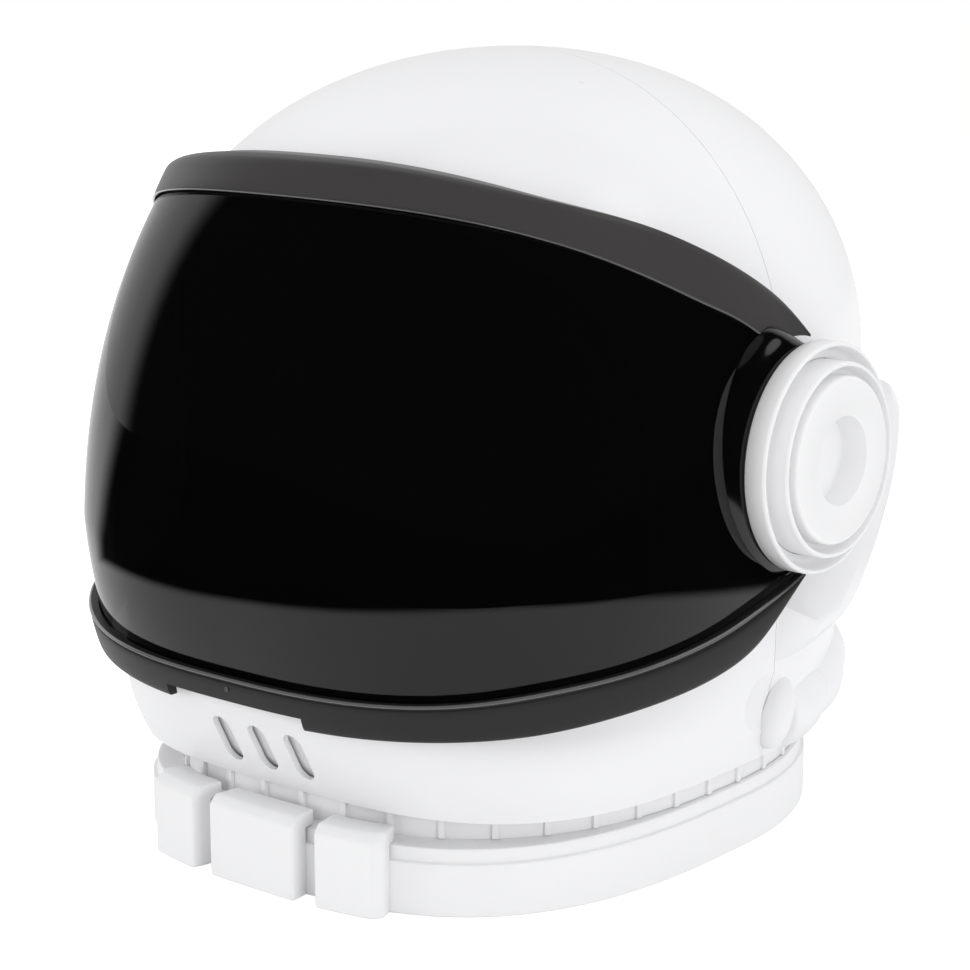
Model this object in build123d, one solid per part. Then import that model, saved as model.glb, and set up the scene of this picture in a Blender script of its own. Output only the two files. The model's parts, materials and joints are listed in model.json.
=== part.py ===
from build123d import *
import os
from math import cos, radians, sin

os.makedirs("parts", exist_ok=True)

# A space helmet for dressing up, in millimetres. It stands on its neck collar with +Z up.
# The wearer's face looks along -Y, the symmetry plane is X = 0, and Z = 0 is the collar's foot.

# Fits and overruns
overrun = 6.0
running_gap = 0.05
seat_gap = 0.2
skin_gap = 0.5
pad_gap = 0.8
ring_points = 16

# Moulded shell, in a front and a rear half
shell_top = 285.0
shell_bottom = 34.0
shell_widest_height = 167.0
shell_half_width = 119.5
shell_foot_half_width = 114.0
brow_reach = 143.5
chin_reach = 145.4
chin_height = 66.0
chin_foot_reach = 128.5
shell_rear_reach = 154.2
nape_reach = 124.0
shell_wall = 2.6
seam_offset = 4.0
crown_power = 2.08
side_power = 8.0
nape_power = 1.25
dome_front_power = 2.4
chin_power = 2.85
rear_power = 2.1
dome_steps = 6
lower_height_shares = (0.0, 0.12, 0.24, 0.4, 0.6, 0.8)

# Face window in the front shell, as shares of the lens reach from the pivot: forwards and up
window_shares = (
    (1.2, -0.42), (0.95, -0.41), (0.6, -0.37), (0.44, -0.28), (0.4, -0.1), (0.42, 0.1),
    (0.5, 0.36), (0.66, 0.52), (0.82, 0.61), (1.2, 0.78),
)

# Chin vents
vent_count = 3
vent_pitch = 17.0
vent_width = 5.5
vent_length = 16.0
vent_height = 49.5
vent_liner_wall = 1.5
vent_liner_width = 56.0
vent_liner_height = 50.6
vent_liner_length = 18.0

# Raised ear pod behind each hub, as shares of the lens reach from the pivot: backwards and up
pod_face = 127.5
pod_relief_radius = 56.0
pod_relief_face = 117.5
pod_slope = 9.0
pod_shares = (
    (0.0, 0.125), (0.25, 0.125), (0.44, 0.115), (0.495, 0.05), (0.49, -0.06), (0.465, -0.16),
    (0.39, -0.31), (0.28, -0.45), (0.0, -0.52),
)

# Visor pivot
pivot_height = 149.0
post_radius = 9.0
post_spigot_radius = 7.9
boss_radius = 22.0
boss_face = 121.4
boss_root = 112.0
post_end = 126.7
friction_washer_radius = 20.0
friction_washer_wall = 0.7
retaining_washer_radius = 13.0
retaining_washer_wall = 1.2
pivot_screw_radius = 2.4
pivot_screw_head_radius = 6.5
pivot_screw_head = 3.2
pivot_screw_root = 113.5
pivot_screw_slot = 1.4

# Ear hub, three stepped discs that turn with the visor
hub_floor = 122.4
hub_floor_wall = 3.8
flange_radius = 40.7
flange_face = 134.7
flange_wall = 6.2
hub_ring_radius = 35.0
hub_ring_face = 141.4
hub_ring_bore = 26.7
cap_radius = 29.5
cap_face = 147.5
cap_wall = 2.4
recess_radius = 16.8
recess_floor_radius = 12.5
recess_depth = 10.0
cap_skirt = 11.0
hub_edge = 1.1

# Visor lens
lens_half_width = 132.3
lens_reach = 154.5
lens_belly_height = 118.0
lens_fall_side = 225.0
lens_fall_high = 181.6
lens_fall_low = 172.0
lens_curve_high = 2.3
lens_curve_low = 2.0
lens_power = 2.88
lens_power_high = 2.38
lens_power_low = 2.6
lens_bottom = 58.0
lens_top = 264.0
lens_wall = 2.5
lens_close_reach = 60.0
lens_hole_radius = 36.6
lens_steps = 9

# Side view of the visor's edges. Each row holds the reach forwards of the pivot and the heights
# above it of the rim's foot, the rim's lip, the brow's lower edge and the brow's upper edge.
visor_edge_shares = (
    (-0.078, None, None, 0.172, 0.256),
    (0.026, -0.269, -0.265, 0.224, 0.350),
    (0.087, -0.318, -0.285, 0.261, 0.391),
    (0.181, -0.391, -0.309, 0.319, 0.444),
    (0.291, -0.436, -0.338, 0.370, 0.498),
    (0.421, -0.463, -0.364, 0.434, 0.553),
    (0.583, -0.488, -0.389, 0.512, 0.609),
    (0.744, -0.514, -0.412, 0.577, 0.684),
    (0.874, -0.530, -0.438, 0.619, 0.740),
    (1.062, -0.558, -0.461, 0.692, 0.822),
)

# Brow and rim round the lens
brow_proud = 3.4
brow_lip = 4.5
brow_lip_wall = 2.6
rim_proud = 4.2
notch_half_width = 32.0
notch_height = 70.3
stop_pin_radius = 1.0
stop_pin_height = 75.0
hub_clearance = 0.5

# Neck collar
collar_half_width = 110.2
collar_front = 136.2
collar_rear = 114.5
collar_front_power = 2.55
collar_rear_power = 2.2
band_height = 24.0
band_wall = 5.8
band_ledge_wall = 4.0
band_step = 1.6
band_step_height = 5.0
sleeve_half_width = 103.8
sleeve_front = 123.5
sleeve_rear = 108.0
sleeve_wall = 3.0
sleeve_foot = 3.0
sleeve_top = 40.0
rib_count = 40
rib_proud = 1.4
rib_width = 2.4
rib_top = 35.0
sleeve_flange_wall = 2.6
lug_radius = 6.0
lug_length = 9.0
lug_angles = (20, 60, 120, 160, 200, 340)
collar_screw_radius = 1.5
collar_screw_head_radius = 2.8
collar_screw_head = 2.0

# Clamp blocks on the front of the collar
block_proud = 8.0
block_height = 30.0
block_chamfer = 3.0
block_hook = 5.0
centre_block_angle = 8.0
side_block_start_angle = 11.6
side_block_end_angle = 22.0
side_block_chamfer = 3.0
block_side_slope_angle = 1.6

# Ribbed neck roll round the nape
roll_half_width = 105.0
roll_power = 2.2
roll_rear = 120.0
roll_radius = 16.5
roll_groove_radius = 14.0
roll_shoulder_radius = 15.9
roll_end_height = 41.0
roll_rise = 11.0
roll_start_angle = 16.0
roll_segments = 11
roll_groove_share = 0.12
roll_cap_radius = 12.5
roll_cap_wall = 4.0

# Inner pieces
strap_wall = 2.2
strap_half_width = 8.0
strap_start_angle = 14.0
strap_end_angle = 58.0
strap_points = 7
seam_screw_radius = 1.5
seam_screw_head_radius = 3.0
seam_screw_head = 1.6
seam_screw_angles = (22, 50)
pad_wall = 11.0
crown_pad_radius = 52.0
rear_pad_half_width = 62.0
rear_pad_foot = 78.0
rear_pad_top = 190.0
rear_pad_corner = 34.0
side_pad_front = 16.0
side_pad_rear = 74.0
side_pad_foot = 150.0
side_pad_top = 212.0
side_pad_corner = 16.0

far = 200.0


def write(shape, name):
    export_step(shape, f"parts/{name}.step")


def ring_point(half, front, rear, front_power, back_power, height, degrees):
    """Point of a plan outline with its own reach and squareness in front and behind."""
    across, along = cos(radians(degrees)), sin(radians(degrees))
    reach, power = (rear, back_power) if along > 0 else (front, front_power)
    radius = ((abs(across) / half) ** power + (abs(along) / reach) ** power) ** (-1 / power)
    return Vector(radius * across, radius * along, height)


def ring(*plan):
    """Closed plan outline, begun at the back so that both sides mirror each other."""
    points = [ring_point(*plan, 90 + 360 * step / ring_points) for step in range(ring_points)]
    return Wire([Edge.make_spline(points, periodic=True)])


def between(start, end, share):
    return start + (end - start) * share


def shell_plan(height):
    """Half width, front reach, rear reach and powers of the shell below its widest height."""
    depth = shell_widest_height - shell_bottom
    share = (shell_widest_height - height) / depth
    half = between(shell_half_width, shell_foot_half_width, share ** side_power)
    rear = between(shell_rear_reach, nape_reach, share ** nape_power)
    if height < chin_height:
        front = between(chin_foot_reach, chin_reach, (height - shell_bottom) / (chin_height - shell_bottom))
    else:
        front = between(chin_reach, brow_reach, (height - chin_height) / (shell_widest_height - chin_height))
    return half, front, rear, between(dome_front_power, chin_power, share), rear_power


def shell_body(inset):
    """Solid inside the shell's surface, drawn in by the inset."""
    wires = []
    for share in lower_height_shares:
        height = between(shell_bottom, shell_widest_height, share)
        half, front, rear, front_power, back_power = shell_plan(height)
        wires.append(ring(half - inset, front - inset, rear - inset, front_power, back_power, height))
    rise = shell_top - shell_widest_height - inset
    for step in range(dome_steps):
        angle = radians(90 * step / dome_steps)
        up = sin(angle) ** (2 / crown_power)
        out = cos(angle) ** (2 / crown_power)
        height = shell_widest_height + rise * up
        wires.append(ring((shell_half_width - inset) * out, (brow_reach - inset) * out,
                          (shell_rear_reach - inset) * out, dome_front_power, rear_power, height))
    return Solid.make_loft(wires + [Vertex(0, 0, shell_widest_height + rise)], False)


def lens_front_reach(height):
    fall, curve = lens_fall_high, lens_curve_high
    if height < lens_belly_height:
        fall, curve = lens_fall_low, lens_curve_low
    drop = abs(height - lens_belly_height)
    return lens_reach * (1 - (drop / fall) ** curve) ** (1 / curve)


def shell_layer(inset, wall, prism):
    """Piece of a skin inside the shell, within a prism."""
    return (shell_body(inset) & prism) - shell_body(inset + wall)


def lens_body(proud):
    """Solid behind the lens's outer surface, grown by what a piece stands proud of it."""
    wires = []
    for step in range(lens_steps):
        height = between(lens_bottom, lens_top, step / (lens_steps - 1))
        below = height < lens_belly_height
        drop = height - lens_belly_height
        front = lens_front_reach(height) + proud
        half = lens_half_width * (1 - (drop / lens_fall_side) ** 2) ** 0.5 + proud
        span = lens_bottom - lens_belly_height if below else lens_top - lens_belly_height
        power = between(lens_power, lens_power_low if below else lens_power_high, drop / span)
        wires.append(ring(half, front, lens_close_reach, power, power, height))
    return Solid.make_loft(wires, False)


def visor_layer(outer, inner, prism):
    """Piece of the visor between two distances proud of the lens, within a prism."""
    return (lens_body(outer) & prism) - lens_body(inner)


def side_point(forwards_share, up_share, shift=0):
    return Vector(0, -forwards_share * lens_reach, pivot_height + up_share * lens_reach + shift)


def visor_curve(column, shift=0):
    """One edge of the visor in side view, from the hub forwards."""
    rows = [row for row in visor_edge_shares if row[column] is not None]
    return [side_point(row[0], row[column], shift) for row in rows]


def side_prism(low_points, high_points):
    """Slab right across the helmet between two edges drawn in side view."""
    low = Edge.make_spline(low_points)
    high = Edge.make_spline(high_points)
    front = Edge.make_line(low_points[-1], high_points[-1])
    back = Edge.make_line(high_points[0], low_points[0])
    face = Face(Wire([low, front, high, back]))
    return extrude(face, far, dir=(1, 0, 0), both=True)


def hub_cylinder(radius, start, end):
    """Disc about the pivot axis between two distances from the symmetry plane."""
    centre = Plane(origin=(start, 0, pivot_height), z_dir=(1, 0, 0))
    return extrude(centre * Circle(radius), end - start)


def hub_turned(outline):
    """Turned piece about the pivot axis from an outline of distance and radius."""
    points = [(out, 0, pivot_height + radius) for out, radius in outline]
    face = Face(Wire.make_polygon([Vector(*point) for point in points], close=True))
    return revolve(face, Axis((0, 0, pivot_height), (1, 0, 0)), 360)


def collar_prism(plan, inset, low, high):
    """Upright prism inside the band's or the sleeve's plan, drawn in by the inset."""
    half, front, rear = plan
    outline = ring(half - inset, front - inset, rear - inset, collar_front_power, collar_rear_power, low)
    return extrude(Face(outline), high - low, dir=(0, 0, 1))


def block(start, end, side):
    """Clamp block on the front of the collar, between two angles from straight ahead."""
    def place(angle, radius):
        return (radius * sin(radians(angle)), -radius * cos(radians(angle)))
    outer = collar_front + block_proud
    corners = [(0, 0), place(start, far)]
    if side:
        corners.append(place(end - side * block_side_slope_angle, outer + block_proud))
        corners.append(place(end, outer - block_proud / 2 - side_block_chamfer))
    else:
        corners.append(place(end, far))
    wedge = extrude(make_face(Polyline(*corners, close=True)), block_height)
    sections = ((0, block_proud), (block_height - block_chamfer, block_proud),
                (block_height, block_proud - block_chamfer))
    wires = [ring(collar_half_width + proud, collar_front + proud, collar_rear + proud,
                  collar_front_power, collar_rear_power, height) for height, proud in sections]
    body = Solid.make_loft(wires, True)
    body -= collar_prism(band_plan, -seat_gap, 0, band_height + seat_gap)
    body -= collar_prism(band_plan, block_hook, band_height, block_height + overrun)
    return body & wedge


def upright_slot(across, height, width, length):
    """Round-ended cutter through the chin."""
    sketch = Plane(origin=(across, 0, height), x_dir=(0, 0, 1), z_dir=(0, -1, 0)) * SlotOverall(length, width)
    return extrude(sketch, far)


def rounded_prism(plane, width, height, corner, depth):
    return extrude(plane * RectangleRounded(width, height, corner), depth)


band_plan = (collar_half_width, collar_front, collar_rear)
sleeve_plan = (sleeve_half_width, sleeve_front, sleeve_rear)

# Shell halves
outer_body = shell_body(0)
inner_body = shell_body(shell_wall)
window_points = [side_point(*shares) for shares in window_shares]
window_face = Face(Wire([Edge.make_spline(window_points), Edge.make_line(window_points[-1], window_points[0])]))
shell_cuts = [inner_body, extrude(window_face, far, dir=(1, 0, 0), both=True)]
for index in range(vent_count):
    across = (index - (vent_count - 1) / 2) * vent_pitch
    shell_cuts.append(upright_slot(across, vent_height, vent_width, vent_length))
spigot_bore = post_spigot_radius + running_gap
shell_cuts.append(hub_cylinder(spigot_bore, -pod_face, pod_face))
shell = outer_body - shell_cuts

lug_height = sleeve_top + lug_length / 2
lug_places = []
lugs = []
for angle in lug_angles:
    half, front, rear, front_power, back_power = shell_plan(sleeve_top - sleeve_flange_wall)
    inset = shell_wall + pad_gap + collar_screw_head_radius
    place = ring_point(half - inset, front - inset, rear - inset, front_power, back_power, 0, angle)
    lug_places.append(place)
    lugs.append(Pos(place.X, place.Y, lug_height) * Cylinder(lug_radius, lug_length) & outer_body)
shell += lugs
shell -= [Pos(place.X, place.Y, lug_height) * Cylinder(collar_screw_radius, lug_length) for place in lug_places]

rear_half_space = Pos(0, seam_offset + far, shell_top / 2) * Box(2 * far, 2 * far, 2 * far)
front_half_space = Pos(0, seam_offset - far, shell_top / 2) * Box(2 * far, 2 * far, 2 * far)
front_shell = shell & front_half_space
rear_shell = shell & rear_half_space

foot_points = [Vector(pod_face - pod_slope, back * lens_reach, pivot_height + up * lens_reach)
               for back, up in pod_shares]
spread = lens_reach * pod_shares[2][0] / 2
centre = Vector(pod_face, spread, pivot_height - pod_slope)
top_points = []
for point in foot_points:
    level = Vector(pod_face, point.Y, point.Z)
    top_points.append(centre + (level - centre) * ((spread + pod_slope) / (spread + 2 * pod_slope)))
root_points = [Vector(boss_root, point.Y, point.Z) for point in foot_points]
pod_wires = [Wire.make_polygon(points, close=True) for points in (root_points, foot_points, top_points)]
pod = Solid.make_loft(pod_wires, True) - [
    inner_body,
    front_half_space,
    hub_cylinder(pod_relief_radius, pod_relief_face, pod_face + overrun),
    hub_cylinder(boss_radius + seat_gap, boss_root, pod_face + overrun),
]
rear_shell += [pod, mirror(pod, Plane.YZ)]
write(front_shell, "front_shell")
write(rear_shell, "rear_shell")

# Inner straps over the seam with their screws
def seam_point(degrees, inset):
    """Point of the shell's section at the seam, drawn in by the inset."""
    across = (shell_half_width - inset) * cos(radians(degrees)) ** (2 / crown_power)
    up = (shell_top - shell_widest_height - inset) * sin(radians(degrees)) ** (2 / crown_power)
    return Vector(across, seam_offset - strap_half_width, shell_widest_height + up)


strap_angles = [between(strap_start_angle, strap_end_angle, step / (strap_points - 1))
                for step in range(strap_points)]
strap_outer = shell_wall + seat_gap + pad_gap
outer_points = [seam_point(angle, strap_outer) for angle in strap_angles]
inner_points = [seam_point(angle, strap_outer + strap_wall) for angle in strap_angles]
strap_face = Face(Wire([
    Edge.make_spline(outer_points), Edge.make_line(outer_points[-1], inner_points[-1]),
    Edge.make_spline(inner_points[::-1]), Edge.make_line(inner_points[0], outer_points[0]),
]))
strap = extrude(strap_face, 2 * strap_half_width, dir=(0, 1, 0))
seam_screws = []
for angle in seam_screw_angles:
    head_seat = seam_point(angle, strap_outer + strap_wall)
    aim = (head_seat - Vector(0, head_seat.Y, shell_widest_height)).normalized()
    for offset in (strap_half_width / 2, strap_half_width * 3 / 2):
        frame = Plane(origin=head_seat - aim * seat_gap + Vector(0, offset, 0), z_dir=aim)
        shank = extrude(frame * Circle(seam_screw_radius), strap_wall + seat_gap + shell_wall / 2)
        strap -= extrude(frame * Circle(seam_screw_radius + running_gap), strap_wall * 2, both=True)
        seam_screws.append(shank + extrude(frame * Circle(seam_screw_head_radius), -seam_screw_head))
left_strap = mirror(strap, Plane.YZ)
left_screws = [mirror(screw, Plane.YZ) for screw in seam_screws]
write(strap, "left_seam_strap")
write(left_strap, "right_seam_strap")
write(Compound(seam_screws + left_screws), "seam_screws")

# Foam pads inside the shell
rear_plane = Plane(origin=(0, 0, (rear_pad_foot + rear_pad_top) / 2), x_dir=(-1, 0, 0), z_dir=(0, 1, 0))
rear_prism = rounded_prism(rear_plane, 2 * rear_pad_half_width, rear_pad_top - rear_pad_foot,
                           rear_pad_corner, far)
write(shell_layer(shell_wall + pad_gap, pad_wall, rear_prism), "rear_foam_pad")
middle = (0, (side_pad_front + side_pad_rear) / 2, (side_pad_foot + side_pad_top) / 2)
side_plane = Plane(origin=middle, x_dir=(0, 1, 0), z_dir=(1, 0, 0))
pad_prism = rounded_prism(side_plane, side_pad_rear - side_pad_front, side_pad_top - side_pad_foot,
                          side_pad_corner, far)
side_pad = shell_layer(shell_wall + pad_gap, pad_wall, pad_prism)
write(side_pad, "left_foam_pad")
write(mirror(side_pad, Plane.YZ), "right_foam_pad")
crown_prism = Pos(0, 0, shell_top) * Cylinder(crown_pad_radius, far)
write(shell_layer(shell_wall + pad_gap, pad_wall, crown_prism), "crown_foam_pad")

# Liner behind the chin vents
liner_plane = Plane(origin=(0, 0, vent_liner_height), x_dir=(1, 0, 0), z_dir=(0, -1, 0))
liner_prism = rounded_prism(liner_plane, vent_liner_width, vent_liner_length, vent_width, far)
vent_liner = shell_layer(shell_wall + pad_gap, vent_liner_wall, liner_prism)
write(vent_liner, "chin_vent_liner")

# Visor
low_curve = [(a + b) / 2 for a, b in zip(visor_curve(1), visor_curve(2))]
high_curve = [(a + b) / 2 for a, b in zip(visor_curve(3)[1:], visor_curve(4)[1:])]
lens = visor_layer(0, -lens_wall, side_prism(low_curve, high_curve))
lens -= hub_cylinder(lens_hole_radius, -far, far)
write(lens, "visor_lens")

brow_low = visor_curve(3)
brow_high = visor_curve(4)
brow = lens_body(brow_proud) & side_prism(brow_low, brow_high)
under_lip = lens_body(seat_gap) & side_prism(visor_curve(3, -overrun), visor_curve(4, -brow_lip_wall))
brow -= [lens_body(-brow_lip), under_lip]
rim = visor_layer(rim_proud, seat_gap, side_prism(visor_curve(1), visor_curve(2)))
notch = Pos(0, -far, notch_height - far / 2) * Box(2 * notch_half_width, 2 * far, far)
rim -= notch
clear = hub_cylinder(flange_radius + hub_clearance, -far, far)
brow -= clear
rim -= clear
pin_root = lens_front_reach(stop_pin_height) + seat_gap
pin_plane = Plane(origin=(0, -pin_root, stop_pin_height), z_dir=(0, -1, 0))
stop_pin = extrude(pin_plane * Circle(stop_pin_radius), rim_proud)
rim -= extrude(pin_plane * Circle(stop_pin_radius + running_gap), far)
write(brow, "brow_frame")
write(rim, "lower_rim")
write(stop_pin, "rim_stop_pin")

# Hubs and pivots, the left one the mirror image of the right
slot_prism = side_prism([point - Vector(0, 0, overrun) for point in low_curve],
                        [point + Vector(0, 0, overrun) for point in high_curve])
lens_slot = visor_layer(running_gap, -lens_wall - running_gap, slot_prism)


def write_pair(shape, name):
    """The wearer's left piece, and the right one as its mirror image."""
    write(shape, f"left_{name}")
    write(mirror(shape, Plane.YZ), f"right_{name}")


bore = post_radius + running_gap
floor_top = hub_floor + hub_floor_wall
wall_bore = flange_radius - flange_wall
flange = hub_turned([
    (hub_floor, bore), (hub_floor, flange_radius), (flange_face - hub_edge, flange_radius),
    (flange_face, flange_radius - hub_edge), (flange_face, wall_bore), (floor_top, wall_bore),
    (floor_top, bore),
])
flange -= lens_slot - hub_cylinder(lens_hole_radius - running_gap, 0, far)
write_pair(flange, "hub_flange")

spigot = wall_bore - seat_gap
hub_ring = hub_turned([
    (floor_top, hub_ring_bore), (floor_top, spigot), (flange_face, spigot),
    (flange_face, hub_ring_radius), (hub_ring_face - hub_edge, hub_ring_radius),
    (hub_ring_face, hub_ring_radius - hub_edge), (hub_ring_face, hub_ring_bore),
])
write_pair(hub_ring, "hub_ring")

skirt = hub_ring_bore - seat_gap
recess_face = cap_face - recess_depth
cap = hub_turned([
    (recess_face, 0), (recess_face, recess_floor_radius), (cap_face, recess_radius),
    (cap_face, cap_radius - hub_edge), (cap_face - hub_edge, cap_radius), (hub_ring_face, cap_radius),
    (hub_ring_face, skirt), (hub_ring_face - cap_skirt, skirt), (hub_ring_face - cap_skirt, skirt - cap_wall),
    (cap_face - cap_wall, skirt - cap_wall), (cap_face - cap_wall, recess_radius + cap_wall),
    (recess_face - cap_wall, recess_floor_radius + cap_wall), (recess_face - cap_wall, 0),
])
write_pair(cap, "hub_cap")

boss = hub_cylinder(boss_radius, boss_root, boss_face) - outer_body
boss += hub_cylinder(post_spigot_radius, boss_root, boss_face)
boss += hub_cylinder(post_radius, boss_face, post_end)
boss -= hub_cylinder(pivot_screw_radius + running_gap, 0, far)
write_pair(boss, "pivot_boss")

friction = hub_cylinder(friction_washer_radius, boss_face, boss_face + friction_washer_wall)
friction -= hub_cylinder(post_radius + seat_gap, 0, far)
write_pair(friction, "friction_washer")

washer_end = post_end + retaining_washer_wall
washer = hub_cylinder(retaining_washer_radius, post_end, washer_end)
washer -= hub_cylinder(pivot_screw_radius + running_gap, 0, far)
write_pair(washer, "retaining_washer")

screw = hub_cylinder(pivot_screw_radius, pivot_screw_root, washer_end)
head_end = washer_end + pivot_screw_head
screw += hub_cylinder(pivot_screw_head_radius, washer_end, head_end)
for width, length in ((pivot_screw_slot, pivot_screw_head_radius), (pivot_screw_head_radius, pivot_screw_slot)):
    screw -= Pos(head_end, 0, pivot_height) * Box(pivot_screw_head, width, length)
write_pair(screw, "pivot_screw")

# Neck collar
sleeve = collar_prism(sleeve_plan, 0, sleeve_foot, sleeve_top)
rib_stock = collar_prism(sleeve_plan, -rib_proud, band_height + seat_gap, rib_top)
rib_stock -= collar_prism(sleeve_plan, rib_proud, 0, sleeve_top)
rib_bars = []
for index in range(rib_count // 2):
    bar = Box(2 * far, rib_width, sleeve_top)
    rib_bars.append(Pos(0, 0, sleeve_top / 2) * (Rot(0, 0, 360 / rib_count * (index + 0.5)) * bar))
ribs = rib_stock & rib_bars
sleeve += ribs
flange_slab = Pos(0, 0, sleeve_top - sleeve_flange_wall / 2) * Box(2 * far, 2 * far, sleeve_flange_wall)
sleeve += shell_body(shell_wall + skin_gap) & flange_slab
sleeve -= collar_prism(sleeve_plan, sleeve_wall, 0, sleeve_top + overrun)
collar_screws = []
for place in lug_places:
    seat = Pos(place.X, place.Y, sleeve_top - sleeve_flange_wall)
    shank_length = sleeve_flange_wall + lug_length - collar_screw_head
    shank = seat * Pos(0, 0, shank_length / 2) * Cylinder(collar_screw_radius - running_gap, shank_length)
    head = seat * Pos(0, 0, -collar_screw_head / 2) * Cylinder(collar_screw_head_radius, collar_screw_head)
    sleeve -= seat * Cylinder(collar_screw_radius, 2 * lug_length)
    sleeve -= seat * Pos(0, 0, -lug_length / 2) * Cylinder(collar_screw_head_radius + seat_gap, lug_length)
    collar_screws.append(shank + head)
write(sleeve, "collar_sleeve")
write(Compound(collar_screws), "collar_screws")

step_cut = collar_prism(band_plan, -overrun, band_height - band_step_height, band_height + overrun)
step_cut -= collar_prism(band_plan, band_step, 0, shell_bottom)
band = collar_prism(band_plan, 0, 0, band_height) - [
    collar_prism(band_plan, band_wall, -overrun, band_height - band_ledge_wall),
    collar_prism(sleeve_plan, -seat_gap, -overrun, band_height + overrun),
    step_cut,
]
write(band, "collar_band")

write(block(-centre_block_angle, centre_block_angle, 0), "centre_clamp_block")
write(block(side_block_start_angle, side_block_end_angle, 1), "left_clamp_block")
write(block(-side_block_start_angle, -side_block_end_angle, -1), "right_clamp_block")

# Ribbed roll round the nape, laid over the shell's foot, with a cap at each end
roll_wires = []


def roll_frame(degrees):
    """Plane across the roll at an angle round the nape."""
    rise = roll_rise * sin(radians(degrees))
    plan = (roll_half_width, roll_rear, roll_rear, roll_power, roll_power, roll_end_height + rise)
    here = ring_point(*plan, degrees)
    ahead = ring_point(*plan, degrees + 1)
    behind = ring_point(*plan, degrees - 1)
    return Plane(origin=here, x_dir=(0, 0, 1), z_dir=(ahead - behind))


segment_angle = (180 - 2 * roll_start_angle) / roll_segments
for index in range(roll_segments):
    start = roll_start_angle + index * segment_angle
    for share, radius in ((0, roll_groove_radius), (roll_groove_share, roll_shoulder_radius),
                          (0.5, roll_radius), (1 - roll_groove_share, roll_shoulder_radius)):
        roll_wires.append((roll_frame(start + share * segment_angle) * Circle(radius)).wire())
roll_wires.append((roll_frame(180 - roll_start_angle) * Circle(roll_groove_radius)).wire())
under_shell = collar_prism(sleeve_plan, -rib_proud - seat_gap, -overrun, shell_bottom + seat_gap)
under_shell += collar_prism(band_plan, -seat_gap, -overrun, band_height + seat_gap)
roll_clearance = shell_body(-skin_gap)
roll = Solid.make_loft(roll_wires, True) - roll_clearance - under_shell
write(roll, "neck_roll")
caps = []
for degrees, away in ((roll_start_angle, -1), (180 - roll_start_angle, 1)):
    frame = roll_frame(degrees)
    cap = extrude(frame * Circle(roll_cap_radius), away * roll_cap_wall)
    caps.append(cap - roll_clearance - under_shell)
write(Compound(caps), "neck_roll_caps")
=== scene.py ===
import json
from math import cos, pi, radians, sin

import bmesh
import bpy
import numpy as np
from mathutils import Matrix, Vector


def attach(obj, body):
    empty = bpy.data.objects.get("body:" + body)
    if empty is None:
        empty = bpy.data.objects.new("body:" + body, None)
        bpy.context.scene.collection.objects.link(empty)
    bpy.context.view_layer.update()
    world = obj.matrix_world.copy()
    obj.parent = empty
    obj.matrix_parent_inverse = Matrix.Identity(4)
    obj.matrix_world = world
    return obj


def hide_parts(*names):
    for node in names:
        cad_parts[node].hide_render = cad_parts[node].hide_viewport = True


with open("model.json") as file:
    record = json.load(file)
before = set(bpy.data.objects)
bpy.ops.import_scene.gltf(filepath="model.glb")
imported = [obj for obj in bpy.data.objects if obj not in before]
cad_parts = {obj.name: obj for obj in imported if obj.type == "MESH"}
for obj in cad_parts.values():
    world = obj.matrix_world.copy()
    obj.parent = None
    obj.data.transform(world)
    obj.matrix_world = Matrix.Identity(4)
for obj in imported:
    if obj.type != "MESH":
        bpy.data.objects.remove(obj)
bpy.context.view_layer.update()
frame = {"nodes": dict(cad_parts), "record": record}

# Sizes are in millimetres, as on the helmet's drawing, and meshes are scaled to metres when they are made.
mm = 0.001
helmet, visor = "helmet", "visor"
sides = {"left": 1, "right": -1}

# Moulded shell
shell_top = 285.0
shell_bottom = 34.0
shell_widest_height = 167.0
shell_half_width = 119.5
shell_foot_half_width = 114.0
brow_reach = 143.5
chin_reach = 145.4
chin_height = 66.0
chin_foot_reach = 128.5
shell_rear_reach = 154.2
nape_reach = 124.0
shell_wall = 2.6
seam_offset = 4.0
seam_gap = 0.14
crown_power = 2.08
side_power = 8.0
nape_power = 1.25
dome_front_power = 2.4
chin_power = 2.85
chin_corner_power = 0.45
rear_power = 2.1
window_shares = (
    (1.2, -0.42), (0.95, -0.41), (0.6, -0.37), (0.44, -0.28), (0.4, -0.1), (0.42, 0.1),
    (0.5, 0.36), (0.66, 0.52), (0.82, 0.61), (1.2, 0.78),
)
vent_count = 3
vent_pitch = 17.0
vent_width = 8.4
vent_length = 18.5
vent_height = 49.8
vent_liner_gap = 1.3
vent_liner_wall = 1.5
vent_liner_half_turn = 14.0
vent_liner_foot_gap = 0.1
vent_liner_rise = 3.0
vent_cut_start = -200.0
vent_cut_end = -60.0
pod_face = 127.5
pod_slope = 9.0
pod_root = 116.0
pod_relief_radius = 56.0
pod_bevel = 12.0
pod_overrun = 1.0
pod_bevel_root = shell_half_width - pod_overrun
pod_bevel_face = pod_face + pod_overrun
pod_front_run = 1.3 * pod_bevel
pod_corner_radius = 11.0
pod_middle_share = 0.25
pod_shares = (
    (0.0, 0.125), (0.25, 0.125), (0.44, 0.115), (0.495, 0.05), (0.49, -0.06), (0.465, -0.16),
    (0.39, -0.31), (0.28, -0.45), (0.0, -0.52),
)
# Width of the pod's outline, and how far below its face, from the foot of its slope up
pod_slope_shares = ((1.0, 1.0), (0.975, 0.5), (0.945, 0.18), (0.905, 0.04), (0.86, 0.0))
# Dark cloth sheet inside the shell, painted shade for the helmet's inside: its gap from the shell, its wall
# and its foot in side view
shade_lining_gap = 0.1
shade_lining_wall = 0.5
shade_lining_foot = ((-160.0, 0.0), (160.0, 0.0), (160.0, 50.0), (-60.0, 50.0), (-90.0, 66.0), (-160.0, 66.0))

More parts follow.
